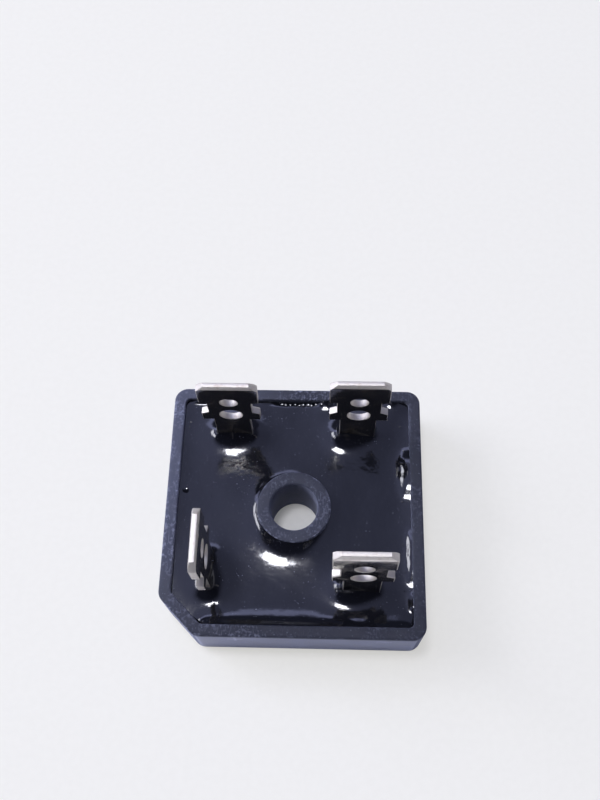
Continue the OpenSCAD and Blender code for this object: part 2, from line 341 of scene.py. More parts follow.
def add_node(tree, kind, sockets=None, **settings):
    """Adds a node of a shader. sockets maps an input to a value, to the output that feeds
    it, or to the node whose first output does."""
    made = tree.nodes.new("ShaderNode" + kind)
    for key, value in settings.items():
        setattr(made, key, value)
    for key, value in (sockets or {}).items():
        if isinstance(value, bpy.types.Node):
            value = value.outputs[0]
        if isinstance(value, bpy.types.NodeSocket):
            tree.links.new(value, made.inputs[key])
        else:
            made.inputs[key].default_value = value
    return made


def new_material(name):
    """An empty material. Returns it, its tree and its place in the part."""
    material = bpy.data.materials.new(name)
    material.use_nodes = True
    tree = material.node_tree
    tree.nodes.clear()
    return material, tree, add_node(tree, "TexCoord").outputs["Object"]


def surface(tree, height, distance, **sockets):
    """The finish itself: a shader over a relief whose height from 0 to 1 stands for this
    distance in metres."""
    relief = add_node(tree, "Bump", {"Height": height, "Distance": distance})
    named = {key.replace("_", " "): value for key, value in sockets.items()}
    return add_node(tree, "BsdfPrincipled", named | {"Normal": relief})


def patches(tree, place, size, low, high, detail=2.0, stretch=(1, 1, 1)):
    """Irregular patches of this size in metres, longer along a stretched axis: 0 between
    them, where the noise is under low, and 1 within them, where it is over high."""
    scaled = add_node(tree, "Mapping", {0: place, "Scale": [1 / (size * s) for s in stretch]})
    field = add_node(tree, "TexNoise", {0: scaled, "Scale": 1.0, "Detail": detail})
    return add_node(tree, "MapRange", {0: field, 1: low, 2: high}, interpolation_type="SMOOTHSTEP")


def finished(material, share, tones, gloss, roughness, relief, depth, **sockets):
    """Completes a material. One share from 0 to 1 mixes its two tones, another one sets
    its roughness between two values, and a relief of this depth in metres covers it."""
    tree = material.node_tree
    base = add_node(tree, "Mix", {0: share, 6: tones[0], 7: tones[1]}, data_type="RGBA")
    rough = add_node(tree, "MapRange", {0: gloss, 3: roughness[0], 4: roughness[1]})
    shader = surface(tree, relief, depth, Base_Color=base.outputs[2], Roughness=rough, **sockets)
    add_node(tree, "OutputMaterial", {0: shader})
    return material


def moulded_pbt(s, marked):
    """Glass-filled PBT from a spark-eroded mould: dark and matt, but smoother on the
    front, where the marks are printed. Handling rubs it paler along its edges, and the
    fine dust in its grain shows pale at a glancing angle. On the front wall the dust
    colour is laid on more thickly, as a painted reflection of the pale floor."""
    material, tree, place = new_material("moulded_pbt_marked" if marked else "moulded_pbt")
    wear, dust_and_painted_reflection, smooth = (
        add_node(tree, "Attribute", attribute_name=name).outputs["Fac"]
        for name in ("wear", "dust_and_painted_reflection", "smooth")
    )
    cloud = patches(tree, place, 3 * MM, 0.35, 0.68, 4.0)
    scuff = patches(tree, place, 0.3 * MM, 0.5, 0.66, 3.0)
    # Scratches and grain are drawn a few times coarser than the real ones, so that they show.
    scratch = patches(tree, place, 0.11 * MM, 0.6, 0.72, 1.0, (1, 9, 1))
    speck = patches(tree, place, 0.2 * MM, 0.68, 0.76, 1.0)
    skin = patches(tree, place, 0.1 * MM, 0.2, 0.8)
    marks = add_node(tree, "Math", {0: scuff, 1: scratch}, operation="MAXIMUM")
    worn = add_node(tree, "Math", {0: marks, 1: wear}, operation="MULTIPLY")
    rub = add_node(tree, "Math", {0: worn, 1: cloud}, operation="MULTIPLY")
    dots = add_node(tree, "Math", {0: speck, 1: 0.35}, operation="MULTIPLY")
    pale = add_node(tree, "Math", {0: rub, 1: dots}, operation="MAXIMUM")
    grime = add_node(tree, "Math", {0: cloud, 1: 0.25, 2: 0.75}, operation="MULTIPLY_ADD")
    # On the case's front wall this share is raised, which paints the pale floor's reflection there.
    haze = add_node(tree, "Math", {0: grime, 1: dust_and_painted_reflection}, operation="MULTIPLY")
    layers = [(haze, s.haze), (pale, s.worn)]
    if marked:
        layers.append((polarity_marks(s, tree, place), s.ink))
    base = s.body
    for share, tone in layers:
        base = add_node(tree, "Mix", {0: share, 6: base, 7: tone}, data_type="RGBA").outputs[2]
    # The front is smoother than the other walls, and its dust shows in full.
    grain = add_node(tree, "MapRange", {0: cloud, 3: 0.68, 4: 0.8})
    rough = add_node(tree, "Math", {0: smooth, 1: -0.36, 2: grain}, operation="MULTIPLY_ADD")
    share = add_node(tree, "Math", {0: smooth, 1: 1 - s.sheen, 2: s.sheen}, operation="MULTIPLY_ADD")
    dust = add_node(tree, "Math", {0: grime, 1: share}, operation="MULTIPLY")
    shader = surface(
        tree, skin, 0.006 * MM, Base_Color=base, Roughness=rough, IOR=1.54,
        Sheen_Weight=dust, Sheen_Roughness=0.5, Sheen_Tint=s.dust,
    )
    add_node(tree, "OutputMaterial", {0: shader})
    return material


def polarity_marks(s, tree, place):
    """Mask of the two printed marks on the front face, a plus and a tilde."""
    stroke, arm, swing = s.mark_stroke / 2, s.mark_size / 2, s.mark_size / 7
    x, y, z = add_node(tree, "SeparateXYZ", {0: place}).outputs
    up = add_node(tree, "Math", {0: z, 1: s.mark_z}, operation="SUBTRACT")
    along = add_node(tree, "Math", {0: x, 1: s.tilde_x}, operation="SUBTRACT")
    turn = add_node(tree, "Math", {0: along, 1: math.pi / arm}, operation="MULTIPLY")
    wave = add_node(tree, "Math", {0: turn}, operation="SINE")
    curve = add_node(tree, "Math", {0: wave, 1: -swing}, operation="MULTIPLY")
    # Middle and half width of each stroke across, and then upwards.
    strokes = [
        (s.plus_x, stroke, 0.0, arm), (s.plus_x, arm, 0.0, stroke), (s.tilde_x, arm, curve, stroke),
    ]
    marks = 0.0
    for across, half_width, height, half_height in strokes:
        wide = add_node(tree, "Math", {0: x, 1: across, 2: half_width}, operation="COMPARE")
        tall = add_node(tree, "Math", {0: up, 1: height, 2: half_height}, operation="COMPARE")
        both = add_node(tree, "Math", {0: wide, 1: tall}, operation="MULTIPLY")
        marks = add_node(tree, "Math", {0: marks, 1: both}, operation="MAXIMUM")
    front = add_node(tree, "Math", {0: y, 1: FRONT}, operation="LESS_THAN")
    return add_node(tree, "Math", {0: marks, 1: front}, operation="MULTIPLY")


def cast_epoxy(s):
    """Black casting epoxy, cured in air: a glossy black skin, slightly wavy, with a
    little dust caught in it."""
    material, tree, place = new_material("cast_epoxy")
    cloud = patches(tree, place, 4 * MM, 0.3, 0.7, 3.0)
    grit = patches(tree, place, 0.13 * MM, 0.74, 0.8, 1.0)
    ripple = patches(tree, place, 1.1 * MM, 0.2, 0.8)
    dust = add_node(tree, "Math", {0: grit, 1: cloud}, operation="MULTIPLY")
    return finished(material, dust, (s.body, s.dust), cloud, (0.07, 0.11), ripple, 0.006 * MM, IOR=1.55)


def rolled_tin(s):
    """Bright tin plating over rolled brass: a warm mirror with faint rolling lines and
    duller fingered places."""
    material, tree, place = new_material("rolled_tin")
    stain = patches(tree, place, 1.6 * MM, 0.48, 0.75, 4.0)
    # The rolling lines are drawn coarser than the real ones, so that they show.
    lines = patches(tree, place, 0.08 * MM, 0.2, 0.8, 2.0, (1, 1, 30))
    return finished(material, stain, (s.tin, s.dull), stain, (0.14, 0.24), lines, 0.0006 * MM, Metallic=1.0)


def sheared_tin(s):
    """Tin plating over the punched edges of the sheet: torn fine by the punch and so
    satin and evenly pale, with grain across the sheet."""
    material, tree, place = new_material("sheared_tin")
    # The torn grain is drawn coarser than the real one, so that it shows.
    tear = patches(tree, place, 0.12 * MM, 0.2, 0.8, 2.0)
    stain = patches(tree, place, 0.5 * MM, 0.5, 0.8, 2.0)
    return finished(material, stain, (s.sheared, s.dull), tear, (0.5, 0.62), tear, 0.008 * MM, Metallic=1.0)


def tumbled_aluminium(s):
    """Rolled aluminium, tumbled after blanking: pale grey, with soft blotches, short
    dents that glint or shade, and small pits."""
    material, tree, place = new_material("tumbled_aluminium")
    blotch = patches(tree, place, 1.6 * MM, 0.35, 0.66, 5.0)
    dent = patches(tree, place, 0.32 * MM, 0.3, 0.72, 3.0, (1.8, 1, 1))
    pit = patches(tree, place, 0.24 * MM, 0.66, 0.74, 1.0)
    dull = add_node(tree, "Math", {0: blotch, 1: dent}, operation="MULTIPLY")
    mottle = add_node(tree, "Math", {0: dull, 1: pit}, operation="MAXIMUM")
    relief = add_node(tree, "Math", {0: dent, 1: pit}, operation="SUBTRACT")
    return finished(
        material, mottle, (s.metal, s.dull), blotch, (0.3, 0.46), relief, 0.025 * MM, Metallic=1.0
    )


def plain_finish(name, first, second, size, roughness, metallic=0.0):
    """Finish of a part that the epoxy hides: two mottled tones and a fine grain."""
    material, tree, place = new_material(name)
    mottle = patches(tree, place, size, 0.35, 0.65, 3.0)
    tones, rough = (linear(first), linear(second)), (roughness - 0.06, roughness + 0.06)
    return finished(material, mottle, tones, mottle, rough, mottle, 0.003 * MM, Metallic=metallic)


def matt_white_board(s):
    """Matt white board with faint fibres. As the camera sees it, part of it is plain
    white, less so within the part's bore, where the board is shaded."""
    material, tree, place = new_material("matt_white_board")
    fibre = patches(tree, place, 0.8 * MM, 0.3, 0.7, 3.0)
    base = add_node(tree, "Mix", {0: fibre, 6: s.floor, 7: s.floor_fibre}, data_type="RGBA")
    board = surface(tree, fibre, 0.002 * MM, Base_Color=base.outputs[2], Roughness=0.9)
    seen = add_node(tree, "LightPath").outputs["Is Camera Ray"]
    radius = add_node(tree, "VectorMath", {0: place}, operation="LENGTH").outputs["Value"]
    share = add_node(
        tree, "MapRange", {0: radius, 1: 0.3 * HALF, 2: HALF, 3: s.bore_whiteness, 4: s.whiteness}
    )
    white = add_node(tree, "Math", {0: share, 1: seen}, operation="MULTIPLY")
    plain = add_node(tree, "Emission", {"Color": s.floor, "Strength": 1.0})
    mixed = add_node(tree, "MixShader", {0: white, 1: board, 2: plain})
    add_node(tree, "OutputMaterial", {0: mixed})
    return material


# ---------------------------------------------------------------- pieces


EDGE_WEAR = 0.9  # share of wear from which a ring of the case is one of the rim's edges
RIM_BAND = 0.5 * MM  # height under the case's top that counts as its rim


class RECTIFIER_OT_case(bpy.types.Operator):
    """Make the moulded case, with its rounded rim, bevelled foot and rebate"""

    bl_idname = "rectifier.case"
    bl_label = "Case"

    def execute(self, context):
        s = context.scene.rectifier_case
        top, low = CASE_HIGH.z, CASE_LOW.z
        # Inset from the face, height, share of wear and share of dust, round the section.
        section = [
            (PLATE_INSET, low, 0, 0.1),
            (s.foot_w + 0.03 * MM, low, 0, 0.1),
            (s.foot_w - 0.04 * MM, low + 0.03 * MM, 0.5, 0.15),
            (0.04 * MM, low + s.foot_h - 0.04 * MM, 0.4, 0.2),
            (0, low + s.foot_h + 0.06 * MM, 0.3, 0.5),
        ]
        section += [(0, z * MM, worn, 0.5) for z, worn in ((1.4, 0.15), (2.8, 0.1), (4.2, 0.1), (5.6, 0.15))]
        section.append((0, top - 0.7 * MM, 0.3, 0.5))
        for inset, drop in quarter_round(s.rim_round, 6):
            section.append((inset, top - drop, 1.0, 0.6))
        section += [(0.4 * MM, top, 0.6, 0.6), (0.65 * MM, top, 0.45, 0.55), (0.9 * MM, top, 0.5, 0.55)]
        for inset, drop in quarter_round(s.lip_round, 5)[::-1]:
            section.append((WALL - inset, top - drop, 0.9, 0.6))
        section += [(WALL, top - 0.35 * MM, 0.3, 0), (WALL, top - 0.9 * MM, 0.1, 0)]
        section += [(WALL, PLATE_HIGH.z, 0, 0), (PLATE_INSET, PLATE_HIGH.z, 0, 0)]
        rings, wear, dust_and_painted_reflection, smooth = [], [], [], []
        for inset, z, worn, dust in section:
            radius = s.corner_r + (s.inner_r - s.corner_r) * inset / WALL
            ring = outline(inset, radius, s.spacing)
            drop = 0.0
            if worn >= EDGE_WEAR:
                step = 0.05 * MM
                inward = (outline(inset + step, radius, s.spacing) - ring) / step
                ring, drop = self.knocked(s, ring, inward, z, 1 if inset < WALL / 2 else -1)
            rings.append(at_height(ring, z - drop))
            across, along = ring[:, 0] / HALF, ring[:, 1] / HALF
            front, upper = ring[:, 1] < FRONT, z > top - RIM_BAND
            # The left of the case is rubbed more, and the back left of its rim is paler.
            wear.append(worn * (0.6 - 0.35 * across) * (0.75 + 0.25 * along))
            smooth.append((front & (not upper)).astype(float))
            rim_paleness = np.clip((0.05 - 0.8 * across) * np.clip(0.85 + 0.75 * along, 0, 1), 0.04, 1)
            # The front wall takes more of the dust colour than the other walls: a painted reflection of the
            # pale floor, seen at a glancing angle.
            dust_and_painted_reflection.append(dust * np.where(upper, rim_paleness, np.where(front, 1.35, 0.7)))
        points, faces = swept(rings, closed=True)
        shares = {
            name: np.concatenate(values)
            for name, values in (("wear", wear), ("dust_and_painted_reflection", dust_and_painted_reflection), ("smooth", smooth))
        }
        piece = add_piece("case_moulding", points, faces, [moulded_pbt(s, True)], 50, shares)
        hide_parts("case")
        return {"FINISHED"}

    def knocked(self, s, ring, inward, z, side):
        """A ring along one of the rim's edges with small knocks in it, and how far they
        sink it. The side is 1 on the outer edge and -1 on the inner one. Only the peaks of
        the noise knock it."""
        moved, drop = ring.copy(), np.zeros(len(ring))
        for n, (x, y) in enumerate(ring):
            chance = ragged((x, y, side * 5 * MM), 0.8 * MM, 3) + 0.5 * ragged((x, y, z), 0.25 * MM, 8)
            moved[n] += side * s.nick * max(0.0, chance - 0.35) * inward[n]
            drop[n] = 0.25 * s.nick * max(0.0, ragged((x, y, 0), 1.5 * MM, 5))
        return moved, drop


def turned(radius, bearings):
    """Plan points on a circle round the screw's axis."""
    return np.c_[radius * np.cos(bearings), radius * np.sin(bearings)]


def keyed_outline(s):
    """Anticlockwise outline of the sleeve's foot, a round with four keys, as one list of
    points for each quarter: four corners of a key, then the arc to the next one."""
    half_key = s.key_w / 2
    spread = math.asin(half_key / s.outer_r)
    root = s.outer_r * math.cos(spread)
    key = np.array([(root, -half_key), (s.key_reach, -half_key), (s.key_reach, half_key), (root, half_key)])
    quarter = np.concatenate([key, turned(s.outer_r, np.linspace(spread, math.pi / 2 - spread, 21)[1:-1])])
    return [quarter @ np.array(Matrix.Rotation(n * math.pi / 2, 2)).T for n in range(4)]


class RECTIFIER_OT_sleeve(bpy.types.Operator):
    """Make the sleeve for the mounting screw, with its four keys"""

    bl_idname = "rectifier.sleeve"
    bl_label = "Mounting sleeve"

    def execute(self, context):
        s = context.scene.rectifier_sleeve
        seat, low_edge = PLATE_HIGH.z, 0.08 * MM
        quarters = keyed_outline(s)
        lower = np.concatenate(quarters)
        count, each = len(lower), len(quarters[0])
        points = [
            at_height(offset_loop(lower, low_edge), 0.0), at_height(lower, low_edge), at_height(lower, seat),
        ]
        faces = band(0, count, count) + band(count, 2 * count, count)
        # The tube over the keys shares the points of the arcs between them, and has five
        # points of its own across the root of each key.
        shelf, start, ring, own = 2 * count, 3 * count, [], []
        spread = math.asin(s.key_w / 2 / s.outer_r)
        for quarter in range(4):
            first = shelf + quarter * each
            middle = list(range(start + len(own), start + len(own) + 5))
            own += list(turned(s.outer_r, quarter * math.pi / 2 + np.linspace(-spread, spread, 7)[1:-1]))
            faces.append([first + 1, first + 2, first + 3] + middle[::-1] + [first])
            ring += [first] + middle + list(range(first + 3, first + each))
        points.append(at_height(np.array(own), seat))
        start += len(own)
        plan = np.concatenate(points)[ring]
        bearings = np.arctan2(plan[:, 1], plan[:, 0])
        rounded = quarter_round(s.edge, 5)
        levels = [(s.outer_r - inward, SLEEVE_TOP - down) for inward, down in rounded]
        levels += [(s.bore_r + down, SLEEVE_TOP - inward) for inward, down in rounded]
        levels += [(s.bore_r, 3 * MM), (s.bore_r, s.edge), (s.bore_r + s.edge, 0.0)]
        for radius, z in levels:
            # Its upper edges sag a little here and there.
            lip = [abs(ragged((x, y, z), 1.2 * MM, 6)) for x, y in turned(4 * MM, bearings)]
            sag = 0.012 * MM * np.array(lip) * (z > seat + 2 * MM)
            points.append(at_height(turned(radius, bearings), z - sag))
            here = list(range(start, start + len(ring)))
            around = zip(ring, ring[1:] + ring[:1], here[1:] + here[:1], here)
            faces += [list(corners) for corners in around]
            ring = here
            start += len(ring)
        points = np.concatenate(points)
        index = list(range(count)) + ring[::-1]
        loops = [[Vector(points[i]) for i in index[:count]], [Vector(points[i]) for i in index[count:]]]
        faces += [[index[c] for c in corners] for corners in tessellate_polygon(loops)]
        high = points[:, 2] > SLEEVE_TOP - 0.25 * MM
        rim = high & (np.hypot(points[:, 0], points[:, 1]) > s.outer_r - 0.8 * s.edge)
        bore = np.hypot(points[:, 0], points[:, 1]) < s.bore_r + 0.2 * s.edge
        shares = {
            "wear": np.where(rim, 1.0, np.where(high, 0.25, 0.1)),
            "dust_and_painted_reflection": np.where(bore, 0.5, np.where(high, 0.1, 0.05)),
        }
        finish = moulded_pbt(context.scene.rectifier_case, False)
        piece = add_piece("screw_sleeve", points, faces, [finish], 35, shares)
        upright(piece)
        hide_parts("mounting_sleeve")
        return {"FINISHED"}


def upright(piece):
    """Turns all faces of a closed mesh outwards."""
    made = bmesh.new()
    made.from_mesh(piece.data)
    bmesh.ops.recalc_face_normals(made, faces=made.faces)
    made.to_mesh(piece.data)
    made.free()


class RECTIFIER_OT_base_plate(bpy.types.Operator):
    """Make the aluminium base plate"""

    bl_idname = "rectifier.base_plate"
    bl_label = "Base plate"

    def execute(self, context):
        s = context.scene.rectifier_plate
        hole = np.concatenate(keyed_outline(context.scene.rectifier_sleeve))[::-1]
        loops = [outline(PLATE_INSET, s.corner_r, 1 * MM), hole]
        points, sides, caps = plate(loops, PLATE_LOW.z, PLATE_HIGH.z, s.edge, 0.05 * MM)
        piece = add_piece("heat_plate", points, sides + caps, [tumbled_aluminium(s)], 40)
        upright(piece)
        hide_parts("base_plate")
        return {"FINISHED"}


TABS = {
    # name: (node, settings of its place and inset, lean of its tip away from the case's
    # face, how the front right terminal is turned to this corner)
    "tab_plus": ("terminal_plus", "plus_edge", "inset", "plus_lean", Matrix.Rotation(-math.pi / 2, 4, "Z")),
    "tab_minus": ("terminal_minus", "rear_edge", "inset", "minus_lean", Matrix.Diagonal((1, -1, 1, 1))),
    "tab_ac_1": ("terminal_ac_1", "front_edge", "front_inset", "ac_1_lean", Matrix.Identity(4)),
    "tab_ac_2": ("terminal_ac_2", "rear_edge", "inset", "ac_2_lean", Matrix.Rotation(math.pi, 4, "Z")),
}


def blank_outline(s, ring_r, tab_x, bend_y, flat_length):
    """Outline and holes of a terminal's flat blank, before its neck is bent up."""
    inner, outer = ring_r - s.arm_w / 2, ring_r + s.arm_w / 2
    tip = bend_y - flat_length
    ear, notch = flat_length - s.ear_bottom, flat_length - s.notch_bottom
    side = [(s.neck / 2, 0), (s.neck / 2, ear), (s.width / 2, ear), (s.width / 2, notch - s.shoulder)]
    side += [(s.waist / 2, notch), (s.waist / 2, flat_length - s.notch_top)]
    for a in np.radians(np.linspace(-90, 0, 6)):
        side.append((
            s.width / 2 - s.notch_r + s.notch_r * math.cos(a),
            flat_length - s.notch_top + s.notch_r + s.notch_r * math.sin(a),
        ))
    side += [(s.width / 2, flat_length - s.tip_cut), (s.width / 2 - s.tip_cut, flat_length)]
    relief = s.neck / 2 + s.relief
    loop = [(-s.arm_end, -inner), (-s.arm_end, -outer), (tab_x - relief, -outer), (tab_x - relief, bend_y)]
    loop += [(tab_x - x, bend_y - v) for x, v in side]
    loop += [(tab_x + x, bend_y - v) for x, v in side[::-1]]
    loop += [(tab_x + relief, bend_y), (tab_x + relief, -outer), (outer - s.arm_cut, -outer)]
    loop += [(outer, -outer + s.arm_cut), (outer, s.arm_end), (inner, s.arm_end), (inner, -inner)]
    loops = [np.array(loop)]
    for radius, drop in ((s.small_hole, s.small_drop), (s.large_hole, s.large_drop)):
        loops.append(turned(radius, np.linspace(0, -2 * math.pi, 41)[:-1]) + (tab_x, tip + drop))
    return loops


BEND_STEPS = 8  # flat steps round the bend of a terminal


def bent(mesh, s, tab_x, bend_y, flat_length, lean):
    """Cuts a flat blank across its bend and its tip. Then it bends the neck up, bevels
    the tip and leans the blade."""
    neutral = s.bend_r + s.sheet / 2
    arc = neutral * math.pi / 2
    bevel = bend_y - flat_length + s.tip_run
    cuts = [bend_y - arc * n / BEND_STEPS for n in range(BEND_STEPS + 1)] + [bevel]
    for y in cuts:
        bmesh.ops.bisect_plane(
            mesh, geom=mesh.verts[:] + mesh.edges[:] + mesh.faces[:], dist=1e-7,
            plane_co=(0, y, 0), plane_no=(0, 1, 0),
        )
    for face in mesh.faces:
        if face.calc_center_median().y < bevel:
            face.material_index = 1
    for vert in mesh.verts:
        run = bend_y - vert.co.y
        beside = abs(vert.co.x - tab_x) > s.neck / 2 + 0.02 * MM
        if run <= 0 or (beside and run < 2 * arc + MM):
            continue
        up = vert.co.z - s.sheet / 2
        up *= 1 - 2 * max(0.0, bevel - vert.co.y) / s.tip_run * s.tip_bevel / s.sheet
        angle = min(run / neutral, math.pi / 2)
        straight = max(0.0, run - arc)
        bow = lean * (straight / (flat_length - arc)) ** 2
        vert.co.y = bend_y - (neutral - up) * math.sin(angle) + bow
        vert.co.z = s.sheet + s.bend_r - (neutral - up) * math.cos(angle) + straight


class RECTIFIER_OT_terminals(bpy.types.Operator):
    """Make the four stamped terminals, each bent up from its flat blank"""

    bl_idname = "rectifier.terminals"
    bl_label = "Terminals"

    def execute(self, context):
        s = context.scene.rectifier_tabs
        finishes = [rolled_tin(s), sheared_tin(s)]
        ring_r = (context.scene.rectifier_sleeve.outer_r + HALF - WALL) / 2
        for name, (node, place, inset, lean, turn) in TABS.items():
            low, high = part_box(node)
            tab_x = HALF - getattr(s, place)
            bend_y = -(HALF - getattr(s, inset)) + s.sheet / 2 + s.bend_r
            rise = high.z - low.z - s.sheet - s.bend_r
            flat_length = (s.bend_r + s.sheet / 2) * math.pi / 2 + rise
            loops = blank_outline(s, ring_r, tab_x, bend_y, flat_length)
            points, sides, caps = plate(loops, 0.0, s.sheet, s.edge, s.burr)
            piece = add_piece(name, points, caps + sides, finishes, 30)
            for face in piece.data.polygons[len(caps):]:
                face.material_index = 1
            made = bmesh.new()
            made.from_mesh(piece.data)
            bent(made, s, tab_x, bend_y, flat_length, getattr(s, lean))
            made.transform(turn @ Matrix.Translation((0, 0, low.z)))
            bmesh.ops.recalc_face_normals(made, faces=made.faces)
            made.to_mesh(piece.data)
            made.free()
            piece.data.set_sharp_from_angle(angle=math.radians(30))
            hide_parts(node)
        return {"FINISHED"}


# Where the epoxy is held higher along a wall: the wall, then middle, half length and rise
# in millimetres. The walls are numbered from 0: right, left, back, front.
HELD_HIGHER = ((2, 3.6, 0.9, 0.5), (2, 11.2, 0.8, 0.35))
# Where it crept up a wall as a ridge, or sank beside it: the wall, then in millimetres
# middle, half length, rise, distance of the edge from the wall and width of the edge, and
# last the share by which the edge is ragged.
CREPT = (
    (0, 4.3, 2.4, 0.31, 0.9, 0.18, 0.1),
    (0, -5.2, 2.6, 0.28, 0.45, 0.13, 0.2),
    (0, -10.2, 1.0, 0.2, 0.3, 0.15, 0.2),
    (2, -0.1, 2.9, -0.12, 0.4, 0.09, 0.2),
    (2, -11.2, 0.8, 0.14, 0.3, 0.08, 0.2),
    (3, -2.2, 7.0, 0.3, 0.3, 0.15, 0.2),
)
# Where it climbs highest on each tab's neck, in millimetres from the neck's middle, and
# the share of that climb that is left far from there.
CLIMB_PEAKS = {
    "tab_plus": (0.1, -1.3), "tab_minus": (-1.2, -0.4), "tab_ac_1": (-1.4, -0.4), "tab_ac_2": (-0.3, -0.4),
}
NECK_LEAST = 0.3
# How it favours the front of the sleeve, by weights of x and y: for the climb, which is
# narrowed by a power and leaves a share behind the sleeve, and for the skirt.
CLIMB_FACING, CLIMB_POWER, CLIMB_LEAST = (0.13, 0.48), 5, 0.05
SKIRT_FACING = (0.35, 0.35)
SETTLING_STEPS = 900
CLEAR_OF_SLEEVE = 4.6  # millimetres from the screw's axis within which no bubble lies


def ragged_field(x, y, size, seed):
    """The same noise as ragged, at each point of a grid."""
    return np.vectorize(lambda u, v: ragged((u, v, 0), size, seed))(x, y)


def wall_gaps(x, y):
    """Distances from plan points to the case's five inner walls: right, left, back,
    front and the cut corner."""
    wall = HALF - WALL
    cut = bpy.context.scene.rectifier_case.corner_cut - WALL * (2 - math.sqrt(2))
    return np.stack([wall - x, wall + x, wall - y, wall + y, (x + y + 2 * wall - cut) / math.sqrt(2)])


def settled_surface(context):
    """Height of the epoxy over its level, on a square grid over the case. It is the
    surface of a liquid that is held up along all that it wets and settles between."""
    s, tabs = context.scene.rectifier_potting, context.scene.rectifier_tabs
    sleeve_r = context.scene.rectifier_sleeve.outer_r
    count = 2 * round(HALF / s.cell) + 1
    axis = (np.arange(count) - count // 2) * s.cell
    x, y = np.meshgrid(axis, axis, indexing="ij")
    skirt = np.zeros(x.shape)

    gaps = wall_gaps(x, y)
    climbs = np.stack([
        np.full(x.shape, climb)
        for climb in (s.right_climb, s.left_climb, s.back_climb, s.front_climb, s.left_climb)
    ])
    for wall, *sizes in HELD_HIGHER:
        middle, half, rise = np.array(sizes) * MM
        climbs[wall] += rise * np.exp(-((((y if wall < 2 else x) - middle) / half) ** 2))
    nearest = np.argmin(gaps, axis=0)[None]
    gap = np.min(gaps, axis=0)
    climb = np.take_along_axis(climbs, nearest, axis=0)[0]
    held = np.where(gap <= 0, climb * (1 - gap / s.reach), np.nan)
    for wall, *sizes, rough in CREPT:
        middle, half, rise, reach, width = np.array(sizes) * MM
        along = (y if wall < 2 else x) - middle
        share = np.exp(-((along / half) ** 4))
        edge = reach * (1 + rough * ragged_field(x, y, MM, wall))
        skirt += rise * share / (1 + np.exp((np.maximum(gaps[wall], 0) - edge) / width))

    ring = np.maximum(np.hypot(x, y), s.cell)
    facing, sideways = (
        np.clip(0.5 - (along_x * x + along_y * y) / ring, 0, 1)
        for along_x, along_y in (CLIMB_FACING, SKIRT_FACING)
    )
    share = CLIMB_LEAST + (1 - CLIMB_LEAST) * facing**CLIMB_POWER
    held = np.where(ring <= sleeve_r, s.sleeve_climb * share * (1 + (sleeve_r - ring) / s.reach), held)
    skirt += s.skirt_rise * sideways * np.exp(-np.maximum(ring - sleeve_r, 0) / s.skirt)

    for name, (node, place, inset, lean, turn) in TABS.items():
        middle = turn @ Vector((HALF - getattr(tabs, place), -(HALF - getattr(tabs, inset)), 0))
        half = turn @ Vector((tabs.neck / 2, tabs.sheet / 2, 0))
        dx, dy = abs(x - middle.x) - abs(half.x), abs(y - middle.y) - abs(half.y)
        gap = np.hypot(np.maximum(dx, 0), np.maximum(dy, 0)) + np.minimum(np.maximum(dx, dy), 0)
        peak = np.array(CLIMB_PEAKS[name]) * MM
        away = np.hypot(x - middle.x - peak[0], y - middle.y - peak[1])
        share = np.maximum(1 - s.falls * away / MM, NECK_LEAST)
        held = np.where(gap <= 0, s.tab_climb * share * (1 - gap / s.reach), held)
        skirt += s.skirt_rise * share * np.exp(-np.maximum(gap, 0) / s.skirt)

    free = np.isnan(held)
    level = np.where(free, 0.0, held)
    for _ in range(SETTLING_STEPS):
        around = level[2:, 1:-1] + level[:-2, 1:-1] + level[1:-1, 2:] + level[1:-1, :-2]
        inner = level[1:-1, 1:-1]
        inner[:] = np.where(free[1:-1, 1:-1], around / (4 + (s.cell / s.reach) ** 2), inner)
    return level + skirt


def heights_at(grid, cell, x, y):
    """Heights of a grid at plan points, on smooth curves through its values."""
    middle = (len(grid) - 1) / 2
    u, v = x / cell + middle, y / cell + middle
    i, j = (np.clip(np.floor(t).astype(int), 1, len(grid) - 3) for t in (u, v))
    weights = []
    for t in (u - i, v - j):
        weights.append((
            ((2 - t) * t - 1) * t / 2, ((3 * t - 5) * t * t + 2) / 2,
            ((4 - 3 * t) * t + 1) * t / 2, (t - 1) * t * t / 2,
        ))
    return sum(
        weights[0][a] * weights[1][b] * grid[i + a - 1, j + b - 1] for a in range(4) for b in range(4)
    )


def skin_height(s, grid, x, y):
    """Height of the epoxy's uneven skin at plan points."""
    return CASE_HIGH.z - s.recess + heights_at(grid, s.cell, x, y) + s.wobble * ragged_field(x, y, 3 * MM, 2)


